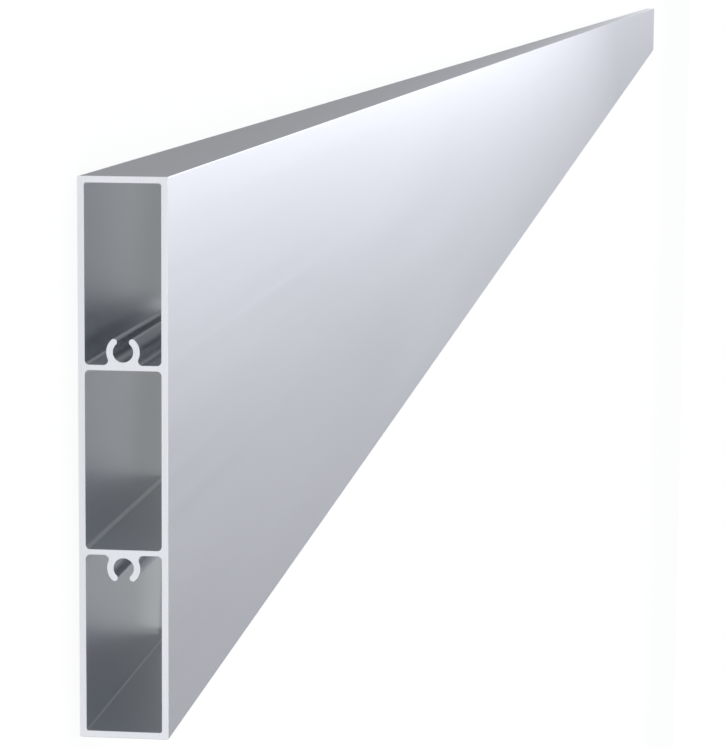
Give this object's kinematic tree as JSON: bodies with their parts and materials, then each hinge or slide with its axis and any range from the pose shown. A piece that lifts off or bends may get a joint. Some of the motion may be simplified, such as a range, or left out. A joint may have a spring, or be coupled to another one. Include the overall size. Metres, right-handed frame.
{
  "type": "aluminium extrusion profile",
  "caption": "Flat rectangular hollow bar with equal inner chambers parted by webs and C-shaped screw ports on the webs, sawn square at both ends.",
  "frame": {"origin": "centre of the bar's resting wide face, on the floor", "axes": "+X along the bar from its near end to its far end, +Y across its width to the left as seen along +X, +Z through its thickness, up"},
  "size_m": [6.5, 0.1, 0.016],
  "materials": {
    "aluminium": "satin, mill finish with fine lines along the bar"
  },
  "bodies": {
    "root": {"extrusion_profile": "aluminium"}
  },
  "joints": []
}
